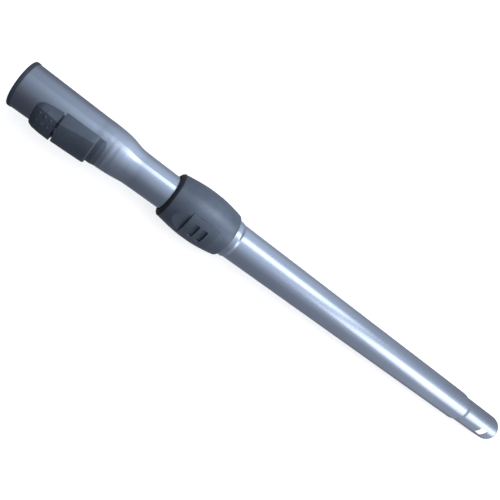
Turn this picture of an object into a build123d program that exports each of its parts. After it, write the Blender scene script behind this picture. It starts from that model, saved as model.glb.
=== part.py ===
from build123d import *
import os
from math import sin, cos, radians

os.makedirs("parts", exist_ok=True)

# Telescopic vacuum wand, collapsed. All lengths in mm.
# Every piece is drawn on a local axis that runs along X from the mouth (0) to the tip,
# with its feature direction at local +Z. It is then turned about X and set down.

# ---------------------------------------------------------------- driving dimensions
length = 630.0            # mouth face to tip
wall = 0.7                # sheet steel tube wall
outer_r = 17.5            # lower tube, outside
inner_r = 16.1            # upper tube, outside
bead_r = 18.4             # expanded end of the lower tube
spigot_r = 15.8           # stepped-down end of the lower tube
socket_r = 18.85          # swaged socket of the upper tube
socket_off = 1.0          # socket axis offset, away from the catch
bore_r = 16.1             # lining sleeve bore
bore_end = 44.0           # rear end of the lining sleeve
lip_r = 19.25             # mouth lip
lip_w = 3.0
collar_r = 24.5           # largest collar radius
running = 0.1             # radial clearance of sliding fits
extension = 324.0         # telescope travel
pitch = 18.0              # spacing of the locking recesses
recess_count = 19
roller_x = 164.0          # locking roller, also the first recess
roller_r = 2.0
roller_z = 17.0           # roller axis above the wand axis when locked
roller_lift = 1.35
button_travel = 4.5
key_travel = 1.5          # release key
latch_angle = 0.085       # radians the latch lifts
tube_end = 538.0          # lower end of the upper tube
cone_0, cone_1 = 560.5, 567.5
sleeve_end = 200.4        # inner end of the guide sleeve, the extension stop
catch_turn = 90.0         # local +Z to the catch direction (-Y)
button_turn = 75.0        # local +Z to the button direction


# ---------------------------------------------------------------- helpers
def rev(points):
    """Ring from a closed (x, radius) polygon, turned about the X axis."""
    return revolve(make_face(Polyline(*[(x, r) for x, r in points], close=True)), Axis.X, 360)


def ring(x0, x1, r0, r1):
    return rev([(x0, r0), (x1, r0), (x1, r1), (x0, r1)])


def rod(x0, x1, r):
    return rev([(x0, 0), (x1, 0), (x1, r), (x0, r)])


seam = 13.0               # where round faces start, away from the main planes


def disc(x, r, z=0.0):
    return Plane(origin=(x, 0, z), x_dir=(0, cos(radians(seam)), sin(radians(seam))), z_dir=(1, 0, 0)) * Circle(r)


def block(x0, x1, y0, y1, z0, z1):
    return Location(((x0 + x1) / 2, (y0 + y1) / 2, (z0 + z1) / 2)) * Box(x1 - x0, y1 - y0, z1 - z0)


def cross_rod(x, z, r, y0, y1):
    """Cylinder along local Y."""
    return Location((x, (y0 + y1) / 2, z)) * (Rot(X=90) * Cylinder(r, y1 - y0))


def slab(points, y0, y1):
    """(x, z) outline as a plate between two Y planes."""
    face = Plane(origin=(0, y0, 0), x_dir=(1, 0, 0), z_dir=(0, -1, 0)) * make_face(Polyline(*points, close=True))
    return extrude(face, -(y1 - y0))


def wedge(x0, x1, half_deg, r=60.0):
    """Sector about the X axis, centred on +Z."""
    a = radians(half_deg)
    pts = [(0, 0), (-r * sin(a), r * cos(a)), (0, r / cos(a) if half_deg < 60 else r), (r * sin(a), r * cos(a))]
    face = Plane(origin=(x0, 0, 0), x_dir=(0, 1, 0), z_dir=(1, 0, 0)) * make_face(Polyline(*pts, close=True))
    return extrude(face, x1 - x0)


def one(shape):
    """The largest solid of a result, as a plain solid."""
    return max(shape.solids(), key=lambda s: s.volume)


nodes = {}


def keep(name, shape, turn, group=False):
    s = Location((-length / 2, 0, collar_r)) * (Rot(X=turn) * shape)
    solids = s.solids()
    out = Compound(children=list(solids)) if group else max(solids, key=lambda q: q.volume)
    if not group and len(solids) > 1:
        print("pieces in", name, [round(q.volume, 3) for q in solids])
    out.label = name
    nodes[name] = out


def off(shape):
    """Shift by the socket's eccentricity."""
    return Location((0, 0, -socket_off)) * shape


# ---------------------------------------------------------------- upper tube
neck = [(58, 18.85), (64, 18.95), (70, 19.0), (74, 18.93), (78, 18.78), (82, 18.5), (85.6, 18.05),
        (89.4, 17.3), (93.2, 16.58), (96.5, 16.2), (100, inner_r)]


def neck_off(r):
    return -socket_off * max(0.0, min(1.0, (r - inner_r) / (socket_r - inner_r)))


neck_out = loft([disc(x, r, neck_off(r)) for x, r in neck])
neck_in = loft([disc(x, r - wall, neck_off(r)) for x, r in neck])
end_r = 15.5
inner_tube = off(Rot(X=seam) * ring(lip_w, 58, socket_r - wall, socket_r)) + (neck_out - neck_in)
inner_tube += Rot(X=seam) * rev([(100, inner_r - wall), (523, inner_r - wall), (524.6, end_r - wall), (tube_end, end_r - wall),
                   (tube_end, end_r), (524.6, end_r), (523, inner_r), (100, inner_r)])
recess_turn = Rot(X=button_turn - catch_turn)
core = rod(120, 520, inner_r - 0.35)
backing, trough = [], []
for k in range(recess_count):
    x = roller_x + pitch * k
    backing.append(recess_turn * (cross_rod(x, roller_z, roller_r + 0.9, -9, 9) & core))
    trough.append(recess_turn * cross_rod(x, roller_z, roller_r + 0.2, -11, 11))
for b in backing:
    inner_tube = inner_tube + b
for t in trough:
    inner_tube = inner_tube - t
inner_tube -= block(46.4, 51.2, -3.8, 3.8, 12, 20)            # latch window
rivet_turns = [Rot(X=a) for a in (-38.0, 38.0)]
rivet_holes = [off(t * (Location((54, 0, 18.5)) * Cylinder(1.25, 5))) for t in rivet_turns]
for h in rivet_holes:
    inner_tube -= h
keep("inner_tube", inner_tube, catch_turn)

# mouth ring with its lining sleeve, one moulding
liner = rev([(1.0, bore_r), (bore_end - 0.6, bore_r), (bore_end, bore_r + 0.6), (bore_end, socket_r - wall),
             (lip_w, socket_r - wall), (lip_w, lip_r), (1.1, lip_r), (0.35, lip_r - 0.35), (0, lip_r - 1.1), (0, bore_r + 1.0)])
keep("mouth_liner", off(liner), catch_turn)

# ---------------------------------------------------------------- catch on the socket
base_r = socket_r + 0.8
plate = off(ring(31.8, 72.0, socket_r, base_r))
inside = plate & (wedge(31.8, 64.6, 50.5))
tab = plate & wedge(64.4, 68.0, 58.0)
tab += (off(rev([(68.0, socket_r), (71.8, socket_r), (71.8, socket_r + 0.12), (68.0, base_r)])) & wedge(68.0, 71.8, 58.0))
tab_plan = block(50, 71.8, -17.2, 17.2, 0, 40)
tab_plan = fillet([e for e in tab_plan.edges().filter_by(Axis.Z) if e.center().X > 70], 6.0)
tab = one(tab & tab_plan)
catch_base = inside + tab - neck_out
catch_base -= block(31, 57.2, -7.6, 7.6, 10, 22)
for s in (-1, 1):
    lug = block(58.2, 61.8, *sorted((s * 4.3, s * 6.4)), 16.5, 21) & rod(50, 70, 20.75)
    catch_base += lug - off(rod(50, 70, socket_r))
pin_z, pin_x, pin_r = 19.0, 60.0, 0.6
catch_base -= cross_rod(pin_x, pin_z, pin_r, -8, 8)
catch_base -= block(57.0, 61.6, -4.3, 4.3, 15, 22)
for h in rivet_holes:
    catch_base -= h
catch_base -= neck_out
keep("catch_base", catch_base, catch_turn)


def pad_section(x, top_r, crease, base, base_r=19.4):
    """Arched pad section: arc over the top, straight flanks down to the tube."""
    c, b = radians(crease), radians(base)
    uc, vc = top_r * sin(c), top_r * cos(c)
    ub, vb = base_r * sin(b), base_r * cos(b)
    plane = Plane(origin=(x, 0, 0), x_dir=(0, 1, 0), z_dir=(1, 0, 0))
    edges = (Line((-ub, vb), (-uc, vc)) + ThreePointArc((-uc, vc), (0, top_r), (uc, vc)) + Line((uc, vc), (ub, vb))
             + Line((ub, vb), (ub * 0.8, vb * 0.8)) + Line((ub * 0.8, vb * 0.8), (-ub * 0.8, vb * 0.8))
             + Line((-ub * 0.8, vb * 0.8), (-ub, vb)))
    return plane * make_face(edges)


cover = loft([pad_section(37.5, 22.32, 31.4, 59), pad_section(50.0, 22.0, 36, 59), pad_section(61.0, 21.65, 40, 59)], ruled=True)
cover += loft([pad_section(61.0, 21.65, 40, 59), pad_section(63.4, 21.5, 40.2, 59), pad_section(64.4, 20.7, 38.8, 58.4)], ruled=True)
cover = one(cover)
try:
    creases = [e for e in cover.edges() if e.length > 9 and abs(e.center().Y) > 10 and e.center().Z > 15]
    cover = one(fillet(creases, 0.8))
except Exception as err:
    print("cover crease left sharp", err)
cover -= off(rod(30, 80, socket_r))
cover -= neck_out
cover -= rod(30, 58.0, 21.15) & block(30, 58.0, -9.2, 9.2, 0, 30)
cover -= rod(57, 62.4, 20.9) & block(57, 62.4, -9.2, 9.2, 0, 30)
cover -= off(rod(30, 80, base_r)) & wedge(36, 66, 51.0)
for t in rivet_turns:
    cover -= off(t * (Location((54, 0, 19.4)) * Cylinder(2.4, 2.4)))
keep("catch_cover", cover, catch_turn)

key = loft([pad_section(18.6, 19.9, 28, 36), pad_section(19.5, 20.55, 31.0, 41.5), pad_section(21.0, 21.15, 33.2, 46.0),
            pad_section(23.0, 21.65, 34.5, 49.5), pad_section(27.5, 22.2, 34.2, 52), pad_section(35.8, 22.64, 32.3, 54.8)], ruled=True)
key = one(key)
try:
    creases = [e for e in key.edges() if e.length > 0.8 and abs(e.center().Y) > 8 and e.center().Z > 15.5 and abs((e @ 1).X - (e @ 0).X) > 0.7]
    key = one(fillet(creases, 0.5))
except Exception as err:
    print("key crease left sharp", err)
for col, x in enumerate((23.3, 27.5, 31.7)):
    top = (21.70, 22.20, 22.43)[col]
    for a in (-26, -9, 9, 26):
        key += Rot(X=a) * (Location((x, 0, top - 1.9)) * Sphere(2.2))
key -= off(rod(10, 40, socket_r + 0.3))
key -= off(rod(29.9, 40, base_r + 0.3)) & wedge(29.9, 40, 51.6)      # clears the base plate
key -= rod(22.2, 33.9, 20.2) & block(22.2, 33.9, -8.6, 8.6, 0, 30)
arm_pts = [(34.0, 17.4), (50.33, 17.4), (48.04, 18.7), (34.0, 18.7)]
for y0, y1 in ((-7.0, -5.0), (5.0, 7.0)):
    key += slab(arm_pts, y0, y1)
keep("catch_key", key, catch_turn)

# latch: sheet lever with an eye, a hook and two ears
latch = slab([(47.2, 18.4), (47.2, 19.3), (60, 19.3), (60, 18.4)], -3.6, 3.6)
latch += cross_rod(pin_x, pin_z, 1.15, -4.0, 4.0)
latch += slab([(47.2, 18.6), (47.2, 16.2), (49.2, 14.3), (50.6, 14.3), (50.6, 18.6)], -3.4, 3.4)
latch += cross_rod(50.0, 18.3, 0.5, -6.8, 6.8)
latch -= cross_rod(pin_x, pin_z, pin_r + 0.05, -8, 8)
latch -= block(55, 65, -8, 8, 10, 18.15)
keep("catch_latch", latch, catch_turn)
keep("latch_pin", cross_rod(pin_x, pin_z, pin_r, -6.4, 6.4), catch_turn)

# bowed leaf spring between latch and cover
leaf = Plane(origin=(0, -2.4, 0), x_dir=(1, 0, 0), z_dir=(0, -1, 0)) * make_face(
    ThreePointArc((51.6, 19.34), (54.6, 20.68), (57.6, 19.34)) + Line((57.6, 19.34), (57.25, 19.34))
    + ThreePointArc((57.25, 19.34), (54.6, 20.46), (51.95, 19.34)) + Line((51.95, 19.34), (51.6, 19.34)))
keep("latch_spring", extrude(leaf, -4.8), catch_turn)

rivets = []
for t in rivet_turns:
    r = Location((54, 0, 0)) * revolve(Plane.XZ * make_face(Polyline(
        (0, socket_r - wall - 0.6), (2.0, socket_r - wall - 0.6), (2.0, socket_r - wall), (1.25, socket_r - wall),
        (1.25, base_r), (2.0, base_r), (1.6, base_r + 0.5), (0, base_r + 0.55), close=True)), Axis.Z, 360)
    rivets.append(off(t * r))
# the two curved seats under the heads follow the plate
rv = [r - off(ring(50, 60, socket_r, base_r)) - off(ring(50, 60, socket_r - wall, socket_r)) for r in rivets]
shanks = [off(t * (Location((54, 0, (socket_r - wall - 0.3 + base_r + 0.3) / 2)) * Cylinder(1.25, wall + 0.8 + 0.6))) for t in rivet_turns]
rivet_set = []
for r, s in zip(rv, shanks):
    rivet_set.append(one(r + s))
keep("base_rivets", Compound(children=rivet_set), catch_turn, group=True)

# ---------------------------------------------------------------- lower end of the upper tube
bush_x = sleeve_end + extension + 0.3
bush = rev([(bush_x, end_r), (tube_end, end_r), (tube_end, end_r - wall), (tube_end + 1.6, end_r - wall),
            (tube_end + 1.6, 16.7), (532.5, 16.7), (532.5, 16.1), (529.5, 16.1), (529.5, 16.7), (bush_x, 16.7)])
keep("end_bush", bush, button_turn)
keep("bush_seal", rev([(529.5, 16.1), (532.5, 16.1), (532.5, 16.55), (531.6, 16.74), (530.4, 16.74), (529.5, 16.55)]), button_turn)

# ---------------------------------------------------------------- lower tube
collar_x0, collar_x1 = 132.5, 195.6
outer_tube = rev([(142, bead_r - wall), (200.6, bead_r - wall), (201.9, bead_r - wall - 0.3), (204.2, outer_r - wall),
                  (cone_0, outer_r - wall), (cone_1, spigot_r - wall), (length, spigot_r - wall),
                  (length, spigot_r - 0.35), (length - 1.2, spigot_r - 0.08), (length - 2.4, spigot_r), (cone_1, spigot_r), (cone_0, outer_r),
                  (204.4, outer_r), (203.2, outer_r + 0.16), (202.1, bead_r - 0.36), (201.2, bead_r - 0.1), (200.2, bead_r), (142, bead_r)])
lock_half, lock_x0, lock_x1 = 10.8, 154.0, 176.3
lock_window = block(lock_x0, lock_x1, -lock_half, lock_half, 10, 30)
outer_tube -= lock_window
tip_cut = block(603.0, 615.2, -5.4, 5.4, 8, 30)
tip_cut = fillet(tip_cut.edges().filter_by(Axis.Z), 0.9)
outer_tube -= tip_cut
keep("outer_tube", outer_tube, button_turn)

guide = rev([(136.0, inner_r + running), (sleeve_end, inner_r + running), (sleeve_end, bead_r - wall),
             (142, bead_r - wall), (142, 19.6), (136.0, 19.6)])
guide -= lock_window
keep("guide_sleeve", guide, button_turn)
keep("wiper_ring", rev([(133.5, inner_r + 0.3), (134.0, inner_r + 0.06), (134.7, inner_r + 0.06), (136.0, inner_r + 0.9),
                        (136.0, 18.9), (133.5, 18.9)]), button_turn)

rim = rev([(collar_x0, 17.0), (133.5, 17.0), (133.5, 18.9), (136.0, 18.9), (136.0, 19.6), (138.2, 19.6), (138.2, 20.3),
           (135.4, 20.3), (135.4, 21.2), (134.9, 21.35), (134.4, 21.2), (133.0, 20.0), (collar_x0, 18.9)])
keep("collar_rim", rim, button_turn)

outline = [(135.4, 21.2), (138.5, 21.75), (141.6, 22.25), (145.9, 22.95), (150.2, 23.55), (156.0, 24.12), (162.0, 24.42),
           (167.5, collar_r), (172.3, 24.42), (176.9, 24.12), (181.4, 23.62), (186.0, 23.0), (190.7, 22.25), (193.2, 21.75)]
shoulder = [(193.2, 21.75), (194.8, 21.15), (collar_x1, 19.9)]
skin = Spline(*outline)
edges = (skin + Spline(*shoulder) + Line(shoulder[-1], (collar_x1, 18.4)) + Line((collar_x1, 18.4), (192.8, 18.4))
         + Line((192.8, 18.4), (191.8, 20.2)) + Line((191.8, 20.2), (186.0, 21.3)) + Line((186.0, 21.3), (181.4, 21.9))
         + Line((181.4, 21.9), (156.0, 22.0)) + Line((156.0, 22.0), (153.9, 20.95)) + Line((153.9, 20.95), (152.8, 20.4)) + Line((152.8, 20.4), (147.0, 20.3))
         + Line((147.0, 20.3), (142.2, 20.3)) + Line((142.2, 20.3), (142.2, 19.6)) + Line((142.2, 19.6), (138.2, 19.6))
         + Line((138.2, 19.6), (138.2, 20.3)) + Line((138.2, 20.3), (135.4, 20.3)) + Line((135.4, 20.3), (135.4, 21.2)))
shell = revolve(make_face(edges), Axis.X, 360)

# bed for the slide button: the surface is let down to one radius over its footprint
bed_r, cap_r, cap_half, cap_x0, cap_x1 = 23.55, 24.42, 32.0, 154.2, 180.0
bed = (rod(153.9, 200, 40) - rod(150, 205, bed_r)) & wedge(153.9, 200, cap_half + 0.6)
shell -= bed
# finger scoop, falling towards the button's end face
scoop = slab([(138.0, 22.6), (142.0, 22.38), (146.0, 22.12), (150.0, 21.82), (153.9, 21.55), (153.9, 30), (138.0, 30)], -16, 16)
shell -= scoop
shell -= block(159.6, 179.5, -8.8, 8.8, 10, 30)
shell -= block(roller_x - 2.4, roller_x + 2.4, -10.05, 10.05, 10, 20.65)   # room for the roller ends
keep("collar_shell", shell, button_turn)

# ---------------------------------------------------------------- slide button and lock
cap = ring(cap_x0, cap_x1, bed_r + 0.15, cap_r) & wedge(cap_x0, cap_x1, cap_half)
# rounded end in plan
plan_r = 5.5
plan = block(cap_x0 - 8, cap_x1, -cap_r * sin(radians(cap_half)) - 0.6, cap_r * sin(radians(cap_half)) + 0.6, 0, 40)
plan = fillet([e for e in plan.edges().filter_by(Axis.Z) if e.center().X > cap_x1 - 1], plan_r)
cap = one(cap & plan)
try:
    top_edges = [e for e in cap.edges() if e.center().Z > 0 and (Vector(0, e.center().Y, e.center().Z).length > cap_r - 0.12 or e.center().X > cap_x1 - 9)
                 and e.geom_type != GeomType.LINE]
    outer_edges = [e for e in cap.edges() if min(Vector(0, (e @ t).Y, (e @ t).Z).length for t in (0, 0.5, 1)) > cap_r - 0.05]
    cap = one(fillet(outer_edges, 0.45))
except Exception as err:
    print("button edge left sharp", err)
stem = (block(160.0, 174.7, -8.4, 8.4, 10, 40) & rod(150, 180, cap_r - 0.4)) - rod(150, 180, 21.0)
stem = one(stem) - block(156, 167.5, -9, 9, 0, 20.7)      # clears the risen roller
button = cap + one(stem)
for x0, x1 in ((160.6, 165.7), (168.7, 174.0)):
    pocket = block(x0 + 1.2, x1, -6.3, 7.1, 21.9, 32)
    pocket = fillet(pocket.edges().filter_by(Axis.Z), 0.9)
    rim = slab([(x0, 32), (x0, 24.2), (x0 + 1.3, 23.0), (x1, 23.0), (x1, 32)], -7.5, 7.1)
    corners = block(x0 - 0.01, x1 + 0.01, -7.5, 7.1, 20, 32)
    corners = fillet(corners.edges().filter_by(Axis.Z), 1.3)
    end = extrude(Plane(origin=(x0 - 1, 0, 0), x_dir=(0, 1, 0), z_dir=(1, 0, 0)) * make_face(
        Polyline((-7.5, 32), (-7.5, 23.2), (-6.2, 22.2), (7.2, 22.2), (7.2, 32), close=True)), x1 - x0 + 2)
    button -= one(rim & corners & end)
    button -= pocket
keep("slide_button", button, button_turn)

slider = block(156.2, 167.4, -8.6, 8.6, 14.8, 30) & rod(150, 180, 21.0)
slider -= block(150, 180, -7.0, 7.0, 0, 19.25)
ramp = cross_rod(roller_x, roller_z, roller_r + 0.12, -12, 12) + cross_rod(roller_x - button_travel, roller_z + roller_lift, roller_r + 0.12, -12, 12)
slope = Vector(-button_travel, 0, roller_lift).normalized()
nx, nz = -slope.Z * (roller_r + 0.12), slope.X * (roller_r + 0.12)
ramp += slab([(roller_x + nx, roller_z + nz), (roller_x - button_travel + nx, roller_z + roller_lift + nz),
              (roller_x - button_travel - nx, roller_z + roller_lift - nz), (roller_x - nx, roller_z - nz)], -12, 12)
slider -= ramp
keep("lock_slider", slider, button_turn)
keep("lock_roller", cross_rod(roller_x, roller_z, roller_r, -9.8, 9.8), button_turn)

cage = block(lock_x0, lock_x1, -lock_half, lock_half, 10, 30) & rod(150, 180, 20.8)
cage -= rod(150, 180, inner_r + 0.35)
cage -= block(155.9, 174.4, -8.8, 8.8, 0, 40)
cage -= block(roller_x - roller_r - 0.1, roller_x + roller_r + 0.1, -20, 20, roller_z - roller_r - 0.12, 40)
keep("roller_cage", cage, button_turn)

# two return springs, wire coils between slider and cage
springs = []
for s in (-1, 1):
    helix = Helix(pitch=1.35, height=6.2, radius=0.68, center=(167.8, s * 7.85, 17.3), direction=(1, 0, 0))
    wire = Plane(origin=helix @ 0, z_dir=helix % 0) * Circle(0.2)
    springs.append(sweep(wire, path=helix, is_frenet=True))
keep("button_springs", Compound(children=[one(s) for s in springs]), button_turn, group=True)

for name, shape in nodes.items():
    export_step(shape, f"parts/{name}.step")
print(len(nodes), "nodes")
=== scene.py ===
import bpy
import bmesh
import math
from mathutils import Matrix, Vector


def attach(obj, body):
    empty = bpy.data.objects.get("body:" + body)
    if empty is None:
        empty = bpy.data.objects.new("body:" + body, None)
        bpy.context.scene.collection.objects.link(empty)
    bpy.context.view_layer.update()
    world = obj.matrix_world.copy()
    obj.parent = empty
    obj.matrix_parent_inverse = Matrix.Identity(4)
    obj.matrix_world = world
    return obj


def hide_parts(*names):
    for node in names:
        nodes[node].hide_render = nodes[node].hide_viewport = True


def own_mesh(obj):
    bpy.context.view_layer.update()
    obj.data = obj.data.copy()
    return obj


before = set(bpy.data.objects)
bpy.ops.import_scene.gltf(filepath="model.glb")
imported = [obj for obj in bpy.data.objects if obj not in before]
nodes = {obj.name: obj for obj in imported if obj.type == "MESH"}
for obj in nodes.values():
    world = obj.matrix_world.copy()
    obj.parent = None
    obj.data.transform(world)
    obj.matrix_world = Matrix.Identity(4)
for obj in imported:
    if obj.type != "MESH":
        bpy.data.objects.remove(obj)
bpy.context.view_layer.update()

# ---------------------------------------------------------------- where things are, metres
AXIS_Z = 0.0245                 # wand axis above the floor
LENGTH = 0.630
X0 = -LENGTH / 2                # mouth face


def wx(x_mm):
    """Distance from the mouth in mm to the frame's X in metres."""
    return X0 + x_mm / 1000.0


# ---------------------------------------------------------------- node helpers
def new_material(name):
    m = bpy.data.materials.new(name)
    m.use_nodes = True
    nt = m.node_tree
    nt.nodes.clear()
    out = nt.nodes.new("ShaderNodeOutputMaterial")
    bsdf = nt.nodes.new("ShaderNodeBsdfPrincipled")
    nt.links.new(bsdf.outputs["BSDF"], out.inputs["Surface"])
    return m, nt, bsdf


def add(nt, kind, **props):
    n = nt.nodes.new(kind)
    for k, v in props.items():
        setattr(n, k, v)
    return n


def coords(nt, scale=(1, 1, 1)):
    tc = add(nt, "ShaderNodeTexCoord")
    mp = add(nt, "ShaderNodeMapping")
    mp.inputs["Scale"].default_value = scale
    nt.links.new(tc.outputs["Object"], mp.inputs["Vector"])
    return mp.outputs["Vector"]


def noise(nt, vec, scale, detail=3.0, rough=0.55):
    n = add(nt, "ShaderNodeTexNoise")
    n.inputs["Scale"].default_value = scale
    n.inputs["Detail"].default_value = detail
    n.inputs["Roughness"].default_value = rough
    nt.links.new(vec, n.inputs["Vector"])
    return n.outputs["Fac"]


def ramp(nt, fac, stops):
    r = add(nt, "ShaderNodeValToRGB")
    els = r.color_ramp.elements
    while len(els) < len(stops):
        els.new(0.5)
    for e, (p, c) in zip(els, stops):
        e.position = p
        e.color = (*c, 1.0) if len(c) == 3 else c
    nt.links.new(fac, r.inputs["Fac"])
    return r.outputs["Color"]


def grey(v):
    return (v, v, v)


def maprange(nt, fac, a, b, c, d):
    n = add(nt, "ShaderNodeMapRange")
    n.inputs["From Min"].default_value = a
    n.inputs["From Max"].default_value = b
    n.inputs["To Min"].default_value = c
    n.inputs["To Max"].default_value = d
    nt.links.new(fac, n.inputs["Value"])
    return n.outputs["Result"]


def bump(nt, height, strength, distance, normal=None):
    b = add(nt, "ShaderNodeBump")
    b.inputs["Strength"].default_value = strength
    b.inputs["Distance"].default_value = distance
    nt.links.new(height, b.inputs["Height"])
    if normal is not None:
        nt.links.new(normal, b.inputs["Normal"])
    return b.outputs["Normal"]


# ---------------------------------------------------------------- materials
def lacquered_steel(name, low, high, rough, metal=1.0, coat=0.3, marks=False):
    """Silver-blue stove lacquer: a metal flake, drawn streaks along the tube and a soft orange peel."""
    m, nt, bsdf = new_material(name)
    v = coords(nt)
    streak = coords(nt, (5, 260, 260))
    cloud = noise(nt, v, 9, 2)
    flake = noise(nt, v, 3800, 1)
    peel = noise(nt, v, 420, 2)
    drawn = noise(nt, streak, 12, 3)
    mix = add(nt, "ShaderNodeMath", operation="MULTIPLY_ADD")
    nt.links.new(flake, mix.inputs[0])
    mix.inputs[1].default_value = 0.45
    nt.links.new(cloud, mix.inputs[2])
    nt.links.new(ramp(nt, mix.outputs[0], [(0.45, low), (1.0, high)]), bsdf.inputs["Base Color"])
    bsdf.inputs["Metallic"].default_value = metal
    nt.links.new(maprange(nt, drawn, 0.3, 0.7, rough - 0.006, rough + 0.012), bsdf.inputs["Roughness"])
    n1 = bump(nt, flake, 0.05, 0.00002)
    n2 = bump(nt, drawn, 0.007, 0.00003, n1)
    n3 = bump(nt, peel, 0.02, 0.00004, n2)
    if marks:
        # rings left where the socket was rolled down to the neck, strongest on the catch side
        sep = add(nt, "ShaderNodeSeparateXYZ")
        nt.links.new(v, sep.inputs["Vector"])
        inside = maprange(nt, sep.outputs["X"], wx(68), wx(75), 0, 1)
        before = maprange(nt, sep.outputs["X"], wx(81), wx(90), 1, 0)
        below = maprange(nt, sep.outputs["Y"], -0.002, -0.012, 0, 1)
        m1 = add(nt, "ShaderNodeMath", operation="MULTIPLY")
        nt.links.new(inside, m1.inputs[0])
        nt.links.new(before, m1.inputs[1])
        # the forming tool leaves this zone duller
        dull = add(nt, "ShaderNodeMath", operation="MULTIPLY_ADD")
        nt.links.new(m1.outputs[0], dull.inputs[0])
        dull.inputs[1].default_value = 0.16
        nt.links.new(bsdf.inputs["Roughness"].links[0].from_socket, dull.inputs[2])
        nt.links.new(dull.outputs[0], bsdf.inputs["Roughness"])
        m2 = add(nt, "ShaderNodeMath", operation="MULTIPLY")
        nt.links.new(m1.outputs[0], m2.inputs[0])
        nt.links.new(below, m2.inputs[1])
        rings = noise(nt, coords(nt, (300, 18, 18)), 1.0, 2, 0.5)
        m3 = add(nt, "ShaderNodeMath", operation="MULTIPLY")
        nt.links.new(rings, m3.inputs[0])
        nt.links.new(m2.outputs[0], m3.inputs[1])
        n3 = bump(nt, m3.outputs[0], 0.65, 0.0007, n3)
    nt.links.new(n3, bsdf.inputs["Normal"])
    bsdf.inputs["Coat Weight"].default_value = coat
    bsdf.inputs["Coat Roughness"].default_value = 0.2
    return m


def moulded(name, low, high, rough, grain=0.35, scale=2200, metal=0.0):
    """Spark-eroded moulding grain with faint flow shading."""
    m, nt, bsdf = new_material(name)
    v = coords(nt)
    cloud = noise(nt, v, 60, 3)
    g = noise(nt, v, scale, 2, 0.6)
    mott = noise(nt, v, 420, 3)
    mix = add(nt, "ShaderNodeMath", operation="MULTIPLY_ADD")
    nt.links.new(mott, mix.inputs[0])
    mix.inputs[1].default_value = 0.35
    nt.links.new(cloud, mix.inputs[2])
    nt.links.new(ramp(nt, mix.outputs[0], [(0.4, low), (0.9, high)]), bsdf.inputs["Base Color"])
    nt.links.new(maprange(nt, mott, 0.3, 0.7, rough - 0.04, rough + 0.05), bsdf.inputs["Roughness"])
    bsdf.inputs["Metallic"].default_value = metal
    n1 = bump(nt, g, grain, 0.00004)
    n2 = bump(nt, mott, 0.05, 0.00008, n1)
    nt.links.new(n2, bsdf.inputs["Normal"])
    return m


steel = lacquered_steel("tube_lacquer", (0.31, 0.35, 0.41), (0.40, 0.44, 0.51), 0.26)
socket_steel = lacquered_steel("socket_lacquer", (0.31, 0.35, 0.41), (0.40, 0.44, 0.51), 0.26, marks=True)
slate = moulded("slate_plastic", (0.108, 0.129, 0.159), (0.140, 0.165, 0.202), 0.41, metal=0.62)
black = moulded("rim_plastic", (0.022, 0.024, 0.029), (0.032, 0.035, 0.042), 0.42)
slate_catch = moulded("slate_plastic_catch", (0.090, 0.108, 0.134), (0.117, 0.139, 0.170), 0.42, metal=0.62)
mouth = moulded("mouth_plastic", (0.045, 0.055, 0.070), (0.062, 0.074, 0.092), 0.42, metal=0.4)
acetal = moulded("acetal", (0.5, 0.5, 0.47), (0.62, 0.61, 0.58), 0.4, 0.1)
rubber = moulded("seal_rubber", (0.012, 0.012, 0.012), (0.022, 0.022, 0.022), 0.6, 0.2)
zinc = lacquered_steel("zinc_steel", (0.45, 0.45, 0.44), (0.6, 0.6, 0.58), 0.28, coat=0.0)

LOOK = {
    "outer_tube": steel, "inner_tube": socket_steel,
    "mouth_liner": mouth, "catch_base": slate_catch, "catch_cover": slate_catch, "catch_key": slate_catch,
    "collar_shell": slate, "slide_button": slate, "collar_rim": black,
    "guide_sleeve": acetal, "end_bush": acetal, "roller_cage": acetal, "lock_slider": acetal,
    "wiper_ring": rubber, "bush_seal": rubber,
    "catch_latch": zinc, "latch_pin": zinc, "latch_spring": zinc, "base_rivets": zinc,
    "lock_roller": zinc, "button_springs": zinc,
}
for name, mat in LOOK.items():
    o = nodes[name]
    o.data.materials.clear()
    o.data.materials.append(mat)
    for p in o.data.polygons:
        p.material_index = 0

# ---------------------------------------------------------------- springs shown as copies
def springy(name):
    """A copy of the CAD spring, attached to the body it moves with; the CAD node itself is hidden."""
    src = nodes[name]
    o = bpy.data.objects.new(name + "_shown", src.data.copy())
    bpy.context.scene.collection.objects.link(o)
    o.matrix_world = src.matrix_world
    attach(o, "lower" if name == "button_springs" else "upper")
    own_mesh(o)
    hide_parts(name)


springy("button_springs")
springy("latch_spring")

# ---------------------------------------------------------------- floor
bm = bmesh.new()
half = 6.0
v = [bm.verts.new(p) for p in ((-half, -half, 0), (half, -half, 0), (half, half, 0), (-half, half, 0))]
bm.faces.new(v)
me = bpy.data.meshes.new("floor")
bm.to_mesh(me)
bm.free()
floor = bpy.data.objects.new("floor", me)
bpy.context.scene.collection.objects.link(floor)
fm, fnt, fb = new_material("floor_paint")
fv = coords(fnt)
fnt.links.new(ramp(fnt, noise(fnt, fv, 3, 2), [(0.3, grey(0.60)), (0.7, grey(0.64))]), fb.inputs["Base Color"])
fb.inputs["Roughness"].default_value = 0.9
fb.inputs["Emission Color"].default_value = (1.0, 0.995, 0.98, 1)
fb.inputs["Emission Strength"].default_value = 0.76      # a white sheet lit from beneath, so shadows stay faint
me.materials.append(fm)
# the wand lies on its collar and its tip, so the floor falls to the tip by about one degree
slope = math.atan((24.5 - 15.8) / (628.0 - 168.0))
foot = Vector((wx(168), 0, 0))
floor.matrix_world = Matrix.Translation(foot) @ Matrix.Rotation(-slope, 4, "Y") @ Matrix.Translation(-foot)
floor.visible_glossy = False      # the tubes mirror the dim room below the horizon, not the white floor
floor.visible_diffuse = False

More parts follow.
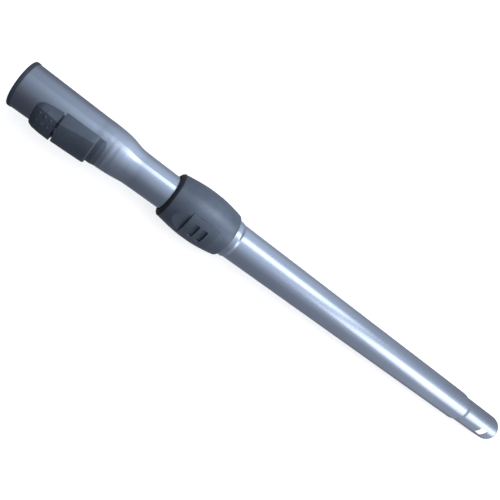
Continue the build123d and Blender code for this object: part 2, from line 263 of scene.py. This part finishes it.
# a pale wall all round, far off, that only closes the view from the sides and lights nothing
bm = bmesh.new()
lower_ring, upper_ring = [], []
for k in range(48):
    a = 2 * math.pi * k / 48
    lower_ring.append(bm.verts.new((5.7 * math.cos(a), 5.7 * math.sin(a), -0.5)))
    upper_ring.append(bm.verts.new((5.7 * math.cos(a), 5.7 * math.sin(a), 9.0)))
for k in range(48):
    n = (k + 1) % 48
    bm.faces.new((lower_ring[k], lower_ring[n], upper_ring[n], upper_ring[k]))
me = bpy.data.meshes.new("backdrop")
bm.to_mesh(me)
bm.free()
backdrop = bpy.data.objects.new("backdrop", me)
bpy.context.scene.collection.objects.link(backdrop)
wm, wnt, wb = new_material("backdrop_paint")
wnt.links.new(ramp(wnt, noise(wnt, coords(wnt), 0.6, 2), [(0.3, grey(0.30)), (0.7, grey(0.33))]), wb.inputs["Base Color"])
wb.inputs["Roughness"].default_value = 0.95
wb.inputs["Emission Color"].default_value = (1.0, 0.998, 0.99, 1)
wb.inputs["Emission Strength"].default_value = 0.9
me.materials.append(wm)
for ray in ("visible_diffuse", "visible_glossy", "visible_transmission", "visible_shadow"):
    setattr(backdrop, ray, False)

# ---------------------------------------------------------------- camera
F_PX, IMG = 434.0, 500.0
EL = math.radians(50.0)
BETA = math.radians(22.35)
DIST = 0.370
AX = Vector((0.80427971, 0.59425091))     # the wand's line in the picture, x right, y down
NX = Vector((-AX.y, AX.x))
W = Vector((1, 0, 0))
V = Vector((0, -math.cos(EL), math.sin(EL)))
U = Vector((0, -math.sin(EL), -math.cos(EL)))
f0 = -V * math.cos(BETA) + W * math.sin(BETA)
et = W * math.cos(BETA) + V * math.sin(BETA)
d = math.atan(2.03 / F_PX)
fwd = f0 * math.cos(d) - U * math.sin(d)
es = U * math.cos(d) + f0 * math.sin(d)
right = et * AX.x + es * NX.x
up = -(et * AX.y + es * NX.y)
pos = Vector((wx(70.3), 0, AXIS_Z)) + V * DIST
cam_data = bpy.data.cameras.new("camera")
cam_data.sensor_width = 36.0
cam_data.lens = 36.0 * F_PX / IMG
cam_data.clip_start = 0.01
cam = bpy.data.objects.new("camera", cam_data)
m = Matrix.Identity(4)
for i, a in enumerate((right, up, -fwd)):
    m.col[i][:3] = a
m.col[3][:3] = pos
cam.matrix_world = m
bpy.context.scene.collection.objects.link(cam)
bpy.context.scene.camera = cam


# ---------------------------------------------------------------- light
def area(name, loc, target, size, energy, colour=(1, 1, 1)):
    L = bpy.data.lights.new(name, "AREA")
    L.shape = "RECTANGLE"
    L.size, L.size_y = size
    L.energy = energy
    L.color = colour
    o = bpy.data.objects.new(name, L)
    bpy.context.scene.collection.objects.link(o)
    o.location = loc
    o.rotation_euler = (Vector(target) - Vector(loc)).to_track_quat("-Z", "Y").to_euler()
    return o


# two long soft panels, one overhead along the wand and one beyond its tip at the front:
# their reflections are the white band, which steps down the tube past the collar
def soft_panel(name, centre, along, faces, length, wide, near, far):
    """Rectangular soft light that fades along its length."""
    L = bpy.data.lights.new(name, "AREA")
    L.shape = "RECTANGLE"
    L.size, L.size_y = length, wide
    L.energy = math.pi * length * wide
    L.color = (1.0, 1.0, 1.0)
    L.use_nodes = True
    nt = L.node_tree
    geo = nt.nodes.new("ShaderNodeNewGeometry")
    sep = nt.nodes.new("ShaderNodeSeparateXYZ")
    nt.links.new(geo.outputs["Parametric"], sep.inputs["Vector"])
    nt.links.new(maprange(nt, sep.outputs["X"], 0.0, 1.0, near, far), nt.nodes["Emission"].inputs["Strength"])
    o = bpy.data.objects.new(name, L)
    bpy.context.scene.collection.objects.link(o)
    out = (Vector(centre) - Vector(faces)).normalized()      # a light shines along its own -Z
    ax = Vector(along)
    ax = (ax - out * ax.dot(out)).normalized()
    m = Matrix.Identity(4)
    for i, a in enumerate((ax, out.cross(ax), out)):
        m.col[i][:3] = a
    m.col[3][:3] = centre
    o.matrix_world = m
    return o


soft_panel("overhead_panel", (0.348, 0.012, 1.21), (0.78, -0.20, -0.19), (-0.08, 0, AXIS_Z), 0.965, 0.54, 2.1, 2.35)
soft_panel("tip_panel", (1.25, -0.66, 0.63), (0.73, -0.05, -0.68), (0.20, 0, AXIS_Z), 0.92, 0.68, 2.35, 1.3)

# room light: bright bluish ceiling, grey walls, dim below the horizon
world = bpy.data.worlds.new("studio")
bpy.context.scene.world = world
world.use_nodes = True
wn = world.node_tree
bg = wn.nodes["Background"]
wtc = wn.nodes.new("ShaderNodeTexCoord")
wsep = wn.nodes.new("ShaderNodeSeparateXYZ")
wn.links.new(wtc.outputs["Generated"], wsep.inputs["Vector"])
wmap = maprange(wn, wsep.outputs["Z"], -1.0, 1.0, 0.0, 1.0)
sky = ramp(wn, wmap, [(0.0, (0.17, 0.185, 0.22)), (0.46, (0.21, 0.23, 0.27)), (0.70, (0.36, 0.39, 0.46)),
                      (0.88, (0.58, 0.65, 0.78)), (1.0, (0.84, 0.95, 1.14))])
wside = maprange(wn, wsep.outputs["X"], -1.0, 1.0, 0.0, 1.0)
front = ramp(wn, wside, [(0.0, grey(0.38)), (0.43, grey(0.42)), (0.485, grey(0.86)), (0.55, grey(1.24)), (0.67, grey(1.66)), (0.80, grey(2.1)), (0.92, grey(3.0)), (0.99, grey(3.2))])
middle = ramp(wn, wside, [(0.0, grey(0.47)), (0.43, grey(0.55)), (0.485, grey(0.95)), (0.55, grey(1.34)), (0.67, grey(1.72)), (0.80, grey(1.45)), (0.92, grey(0.82)), (0.99, grey(1.7))])
back = ramp(wn, wside, [(0.0, grey(0.8)), (0.43, grey(1.0)), (0.55, grey(1.95)), (0.67, grey(2.45)), (0.80, grey(2.05)), (0.92, grey(1.4))])


def by_y(near, far, start, end):
    """From one colour to the other as the direction's Y goes from start to end."""
    mx = wn.nodes.new("ShaderNodeMix")
    mx.data_type = "RGBA"
    wn.links.new(maprange(wn, wsep.outputs["Y"], start, end, 0.0, 1.0), mx.inputs["Factor"])
    wn.links.new(near, mx.inputs[6])
    wn.links.new(far, mx.inputs[7])
    return mx.outputs[2]


lift = by_y(by_y(front, middle, -0.35, 0.05), back, 0.45, 0.85)
wmul = wn.nodes.new("ShaderNodeMix")
wmul.data_type = "RGBA"
wmul.blend_type = "MULTIPLY"
wmul.inputs["Factor"].default_value = 1.0
wn.links.new(sky, wmul.inputs[6])
wn.links.new(lift, wmul.inputs[7])
wn.links.new(wmul.outputs[2], bg.inputs["Color"])
bg.inputs["Strength"].default_value = 1.0
bpy.context.scene.view_settings.view_transform = "Standard"
